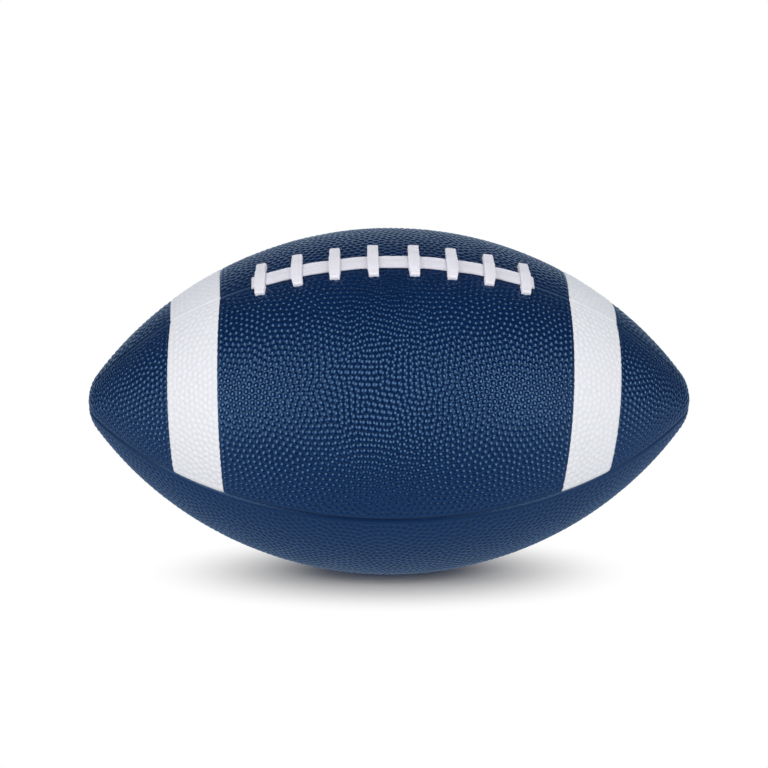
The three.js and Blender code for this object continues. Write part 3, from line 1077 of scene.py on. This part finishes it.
def laceStretch(number):
    fromMiddle = number - (crossLace["count"] - 1) / 2
    extra = (crossLace["middlePitch"] - crossLace["pitch"]) / 2
    return fromMiddle * crossLace["pitch"] + math.copysign(extra, fromMiddle)


laceStretches = np.array([laceStretch(number) for number in range(crossLace["count"])])
runHalf = laceStretches[-1] + crossLace["width"] / 2 + laceRun["overhang"]
runTop = laceRun["rest"] + laceRun["thickness"]


# round the section of a run: across from its inner edge to its outer one, and up
def runSection(lines):
    across = np.linspace(*laceRun["topSpan"], laceRun["topPoints"])
    pressed = sum(np.exp(-(((across - line) / laceRun["lineWidth"]) ** 2)) for line in lines)
    drop = np.where(across > 0, laceRun["outerRound"], laceRun["innerRound"])
    rounding = drop * np.abs(across) ** flatTop
    top = list(zip(across, 0.5 - rounding, -laceRun["lineDepth"] * pressed))
    return np.array(top + laceRun["outerSide"] + laceRun["innerSide"])


def runPiece(name, side, lines):
    section = runSection(lines)
    stretch = np.linspace(-runHalf, runHalf, laceRun["steps"])
    fromLace = np.abs(stretch[:, None] - laceStretches).min(1)
    fromEnd = np.clip((runHalf - np.abs(stretch)) / laceRun["endRound"], 0, 1)
    full = np.sqrt(np.clip(1 - (1 - fromEnd) ** 2, 0, 1))
    bulge = laceRun["bulge"] * smoothStep((fromLace - laceRun["bulgeFrom"]) / laceRun["bulgeOver"])
    wander = sum(size * np.sin(stretch / long + shift * side) for size, long, shift in laceRun["wanders"])
    lean = stretch / barrelRadius
    out = outline(lean)[1]
    sections = []
    for step in range(len(stretch)):
        width = laceRun["width"] + wander[step] * (section[:, 0] > 0)
        offset = laceRun["middle"] + side * (1 + section[:, 0]) * width / 2
        thickness = laceRun["thickness"] * (laceRun["endShare"] + (1 - laceRun["endShare"]) * full[step])
        height = laceRun["rest"] + bulge[step] + (0.5 + section[:, 1]) * thickness + section[:, 2]
        sections.append(skinPoint(np.full(len(offset), lean[step]), offset / out[step], -height))
    points, faces = loft(np.array(sections))
    return newPiece(name, points, facingOut(points, faces), runVinyl, laceRun["sharp"])


for runName, side, lines in (("Front", 1, laceRun["frontLines"]), ("Back", -1, laceRun["backLines"])):
    run = runPiece("laceRun" + runName, side, lines)
    place(run, "ball", "lace", "lace_run_" + runName.lower())
print("lace runs laid")


# how much a rounded end takes off at this distance from it
def endRounding(distance, radius):
    share = np.clip(distance / radius, 0, 1)
    return radius * (1 - np.sqrt(1 - (1 - share) ** 2))


# section of a cross lace: fibres along the top, rounded upper edges, straight sides
def strapSection(halfWidth, top, bottom, phase):
    corner = min(crossLace["round"], crossLace["roundShare"] * min(top - bottom, halfWidth))
    across = np.linspace(-1, 1, crossLace["topPoints"])
    fibre = crossLace["fibreHeight"] * np.cos(across * crossLace["fibres"] * math.pi + phase)
    level = np.stack([across * (halfWidth - corner), top + fibre * (1 - across**flatTop)], -1)
    turns = np.linspace(0, quarter, crossLace["roundPoints"])[1:]
    right = [halfWidth - corner + corner * np.sin(turns), top - corner + corner * np.cos(turns)]
    right = np.stack(right, -1)
    left = right[::-1] * (-1, 1)
    foot = np.array([(halfWidth, bottom), (-halfWidth, bottom)])
    return np.concatenate([level, right, foot, left])


def crossPiece(name, number):
    lean = laceStretch(number) / barrelRadius
    along, out = (float(value) for value in outline(lean))
    acrossRadius = out / math.cos(lean)
    share = np.linspace(-quarter, quarter, crossLace["steps"])
    half = (crossLace["front"] + crossLace["back"]) / 2
    middle = (crossLace["front"] - crossLace["back"]) / 2
    tilt = luck.uniform(-crossLace["tilt"], crossLace["tilt"])
    phase = luck.uniform(0, crossLace["phases"])
    lopsided = luck.uniform(-crossLace["lopsided"], crossLace["lopsided"])
    sections = []
    for across in middle + half * np.sin(share):
        fromFront, fromBack = crossLace["front"] - across, across + crossLace["back"]
        fromRuns = abs(across - laceRun["middle"]) - laceRun["width"]
        drop = smoothStep(fromRuns / crossLace["dropOver"])
        outwards = smoothStep(fromRuns / crossLace["taperOver"])
        top = crossLace["top"] + (crossLace["endTop"] - crossLace["top"]) * drop
        top -= endRounding(fromFront, crossLace["endRound"]) + endRounding(fromBack, crossLace["endRound"])
        sunk = (runTop + crossLace["bury"]) * smoothStep(fromRuns / crossLace["footOver"])
        bottom = runTop + laceRun["bulge"] - sunk
        taper = crossLace["frontTaper"] if across > laceRun["middle"] else crossLace["backTaper"]
        halfWidth = crossLace["width"] / 2 * (1 - (1 - taper) * outwards)
        halfWidth -= endRounding(fromBack, crossLace["backRound"]) * crossLace["backPinch"]
        halfWidth += sum(
            size * math.sin(across * rate + shift * phase) for size, rate, shift in crossLace["wavers"]
        )
        section = strapSection(halfWidth, float(top), float(bottom), phase)
        beside = section[:, 0] + tilt * across + lopsided * outwards * (across > 0)
        angle = (across - crossLace["skew"] * lean * beside) / acrossRadius
        radius = acrossRadius + section[:, 1]
        sideways, up = -radius * np.sin(angle), radius * np.cos(angle) - acrossRadius
        sections.append(np.stack([
            along + beside * math.cos(lean) + up * math.sin(lean),
            sideways,
            out - beside * math.sin(lean) + up * math.cos(lean),
        ], -1))
    points, faces = loft(np.array(sections))
    return newPiece(name, points, facingOut(points, faces), crossVinyl, crossLace["sharp"])


for number in range(crossLace["count"]):
    lace = crossPiece(f"crossLace{number + 1}", number)
    place(lace, "ball", "lace", f"cross_lace_{number + 1}")
print("cross laces laced")

# valve: a boot whose rim shows at the back, and the plug that the needle goes through
valve = {
    "turn": 225.0,
    "sides": 72,
    "stem": 5.0,
    "rimDepth": 0.3,
    "length": 17.0,
    "flange": 10.0,
    "flangeThickness": 1.2,
    "flangeDepth": 6.1,
    "flangeSlope": 0.3,
    "clearance": 0.3,
    "plugRadius": 2.4,
    "plugLength": 14.0,
    "headRadius": 3.4,
    "headThickness": 1.2,
    "needleHole": 0.9,
    "round": 0.35,
    "roundShare": 0.4,  # of the shorter side at a corner
    "roundPoints": 5,
    "sharp": 40,
}


# a turned piece: its profile runs round from the inside, with corners rounded
def turnedPiece(name, profile, finish):
    profile = np.array(profile)
    rounded = []
    for spot, corner in enumerate(profile):
        sides = [profile[spot - 1] - corner, profile[(spot + 1) % len(profile)] - corner]
        lengths = [np.linalg.norm(side) for side in sides]
        cut = min(valve["round"], valve["roundShare"] * min(lengths))
        start, end = [corner + side / length * cut for side, length in zip(sides, lengths)]
        for share in np.linspace(0, 1, valve["roundPoints"]):
            rounded.append((1 - share) ** 2 * start + 2 * share * (1 - share) * corner + share**2 * end)
    rounded = np.array(rounded)
    angle = np.linspace(0, 2 * math.pi, valve["sides"], endpoint=False)
    turn = math.radians(valve["turn"])
    axis = skinNormal(0.0, turn)
    sideways = np.array([1.0, 0.0, 0.0])
    across = np.cross(axis, sideways)
    points = [
        radius * (math.cos(a) * sideways + math.sin(a) * across) + height * axis
        for a in angle
        for radius, height in rounded
    ]
    points = np.array(points)
    faces = np.array(ringFaces(valve["sides"], len(rounded), closed=True))
    return newPiece(name, points, facingOut(points, faces), finish, valve["sharp"])


rim = bellyRadius - valve["rimDepth"]
flangeTop = bellyRadius - valve["flangeDepth"]
bore = valve["plugRadius"] + valve["clearance"]
seat = valve["headRadius"] + valve["clearance"]
seatHeight = rim - valve["headThickness"] - valve["clearance"]
boot = turnedPiece(
    "valveBootMoulding",
    [
        (bore, rim - valve["length"]),
        (valve["stem"], rim - valve["length"]),
        (valve["stem"], flangeTop - valve["flangeThickness"]),
        (valve["flange"], flangeTop - valve["flangeThickness"]),
        (valve["flange"], flangeTop),
        (valve["stem"], flangeTop + valve["flangeSlope"]),
        (valve["stem"], rim),
        (seat, rim),
        (seat, seatHeight),
        (bore, seatHeight),
    ],
    valveRubber,
)
place(boot, "ball", "valve", "valve_boot")
plug = turnedPiece(
    "valvePlugMoulding",
    [
        (valve["needleHole"], rim - valve["plugLength"]),
        (valve["plugRadius"], rim - valve["plugLength"]),
        (valve["plugRadius"], rim - valve["headThickness"]),
        (valve["headRadius"], rim - valve["headThickness"]),
        (valve["headRadius"], rim),
        (valve["needleHole"], rim),
    ],
    valveRubber,
)
place(plug, "valve_plug", "valve", "valve_plug")
print("valve turned")

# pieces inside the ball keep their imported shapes
for node, finish, slot in (
    ("lace_bed", innerRubber, "inner_rubber"),
    ("carcass", innerRubber, "inner_rubber"),
    ("winding", threadWinding, "winding"),
    ("bladder", innerRubber, "inner_rubber"),
):
    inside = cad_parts[node]
    inside.data.materials.clear()
    inside.data.materials.append(finish)


# unit vector from the ball, with azimuth 0 at the front
def wayTo(azimuth, elevation):
    bearing, high = math.radians(azimuth), math.radians(elevation)
    return Vector((math.sin(bearing) * math.cos(high), -math.cos(bearing) * math.cos(high), math.sin(high)))


def lookingAlong(way):
    return way.to_track_quat("-Z", "Y").to_matrix()


# camera: a long lens, a little above the ball and a little to its left
cameraView = {
    "elevation": 8.0,
    "azimuth": -1.83,
    "roll": 0.09,
    "distance": 1171.0,
    "ballRight": 2.76,  # of the ball's middle beside the camera's axis
    "ballUp": -7.92,
    "lens": 117.94,
    "sensor": 36.0,
}
back = wayTo(cameraView["azimuth"], cameraView["elevation"])
turned = lookingAlong(-back) @ Matrix.Rotation(math.radians(cameraView["roll"]), 3, "Z")
toBall = Vector((cameraView["ballRight"], cameraView["ballUp"], -cameraView["distance"]))
cameraData = bpy.data.cameras.new("camera")
cameraData.lens = cameraView["lens"]
cameraData.sensor_width = cameraView["sensor"]
camera = newObject("camera", cameraData)
camera.matrix_world = Matrix.Translation(-(turned @ toBall) * metre) @ turned.to_4x4()
bpy.context.scene.camera = camera

# table: takes the ball's real shadow near it; to the eye a painted shadow fades from there to white farther
# off, and in reflections it glows in painted bluish tones
table = {
    "corners": [(-1.2, -0.125), (1.2, -0.125), (1.2, 1.6), (-1.2, 1.6)],
    "height": -bellyRadius * metre,
    "shade": colour(0.78, 0.759, 0.72),
    "narrow": 0.765,  # the painted shadow is longer than it is deep
    "near": 0.019,
    "far": 0.0895,
    # tones in which the table glows for reflections: a painted reflection, bluish near the ball and paler
    # farther off
    "mirrorNear": 0.15,
    "mirrorFar": 0.55,
    "nearTone": colour(0.36, 0.52, 0.74),
    "farTone": colour(0.46, 0.64, 0.84),
}
tableMesh = bpy.data.meshes.new("table")
tableMesh.from_pydata([(*corner, table["height"]) for corner in table["corners"]], [], [(0, 1, 2, 3)])
tablePiece = newObject("table", tableMesh)


def paleTable():
    tree = newFinish("paleTable")
    eye, gloss, through = tree.rays("Is Camera Ray", "Is Glossy Ray", "Is Transmission Ray")
    flat = tree.scaled(tree.objectSpot(), (table["narrow"], 1.0, 0.0))
    away = tree.node("ShaderNodeVectorMath", {"operation": "LENGTH"}, {0: flat}, "Value")
    # an ellipse round the ball that fades from the real shadow to white: a painted shadow
    whiteToEye = tree.eased(away, table["near"], table["far"])
    whiteInMirror = tree.eased(away, table["mirrorNear"], table["mirrorFar"])
    share = eye * whiteToEye + gloss + through
    matt = tree.node("ShaderNodeBsdfDiffuse", None, {"Color": table["shade"]})
    # reflections see the table glow in these tones, a painted reflection
    mirrored = tree.colourMix(whiteInMirror, table["nearTone"], table["farTone"])
    tone = tree.colourMix(eye, mirrored, colour(1, 1, 1))
    white = tree.node("ShaderNodeEmission", None, {"Color": tone, "Strength": 1.0})
    mixed = tree.node("ShaderNodeMixShader", None, {0: share.clamped(), 1: matt, 2: white})
    tree.node("ShaderNodeOutputMaterial", None, {"Surface": mixed})
    return tree.owner


tableMesh.materials.append(paleTable())

# studio: a white sweep behind the ball, a dark room in front of it, soft boxes on each side and above
studio = {
    "front": 0.07,
    "rear": 1.14,
    "from": 0.4,
    "to": 0.95,
    "beside": 0.9,  # where the sweep ends at the sides
    "tone": colour(0.68, 0.84, 1.0),
    "sideTone": colour(0.5, 0.75, 1.0),
    "sideFrom": 0.02,  # squares, like those of the sweep's sides
    "sideTo": 0.3,
}
world = bpy.data.worlds.new("studio")
bpy.context.scene.world = world
sky = ShaderTree(world)
eye, gloss = sky.rays("Is Camera Ray", "Is Glossy Ray")
direction = sky.node("ShaderNodeTexCoord", out="Generated")
aside, rearwards = [sky.node("ShaderNodeSeparateXYZ", None, {0: direction}, axis) for axis in ("X", "Y")]
sweep = sky.eased(rearwards, studio["from"], studio["to"])
sweep = sweep * (1 - sky.eased(aside * aside, 0.0, studio["beside"] ** 2))
room = studio["front"] + sweep * (studio["rear"] - studio["front"])
strength = eye + (1 - eye) * room
sideShare = sky.eased(aside * aside, studio["sideFrom"], studio["sideTo"])
tone = sky.colourMix(sideShare, studio["tone"], studio["sideTone"])
tone = sky.colourMix(gloss, colour(1, 1, 1), tone)
background = sky.node("ShaderNodeBackground", None, {"Color": tone, "Strength": strength})
sky.node("ShaderNodeOutputWorld", None, {"Surface": background})

sideBox = {
    "elevation": 10.5,
    "distance": 1.3,
    "size": (0.75, 1.1),
    "tone": (1.0, 1.0, 1.0),
    "mirrored": True,
}
softBoxes = [
    {"name": "leftBox", "azimuth": -47.0, "power": 13.6, **sideBox},
    {"name": "rightBox", "azimuth": 43.5, "power": 13.5, **sideBox},
    {
        "name": "topBox",
        "azimuth": 180.0,
        "elevation": 75.0,
        "distance": 1.4,
        "size": (1.8, 1.0),
        "power": 5.4,
        "tone": (0.96, 0.98, 1.0),
        "mirrored": False,  # only fills in the shade
    },
]
for box in softBoxes:
    lampData = bpy.data.lights.new(box["name"], "AREA")
    lampData.shape = "RECTANGLE"
    lampData.size, lampData.size_y = box["size"]
    lampData.energy = box["power"]
    lampData.color = box["tone"]
    lamp = newObject(box["name"], lampData)
    at = wayTo(box["azimuth"], box["elevation"]) * box["distance"]
    lamp.matrix_world = Matrix.Translation(at) @ lookingAlong(-at).to_4x4()
    lamp.visible_glossy = box["mirrored"]
print("studio lit")

bpy.context.scene.view_settings.view_transform = "Standard"
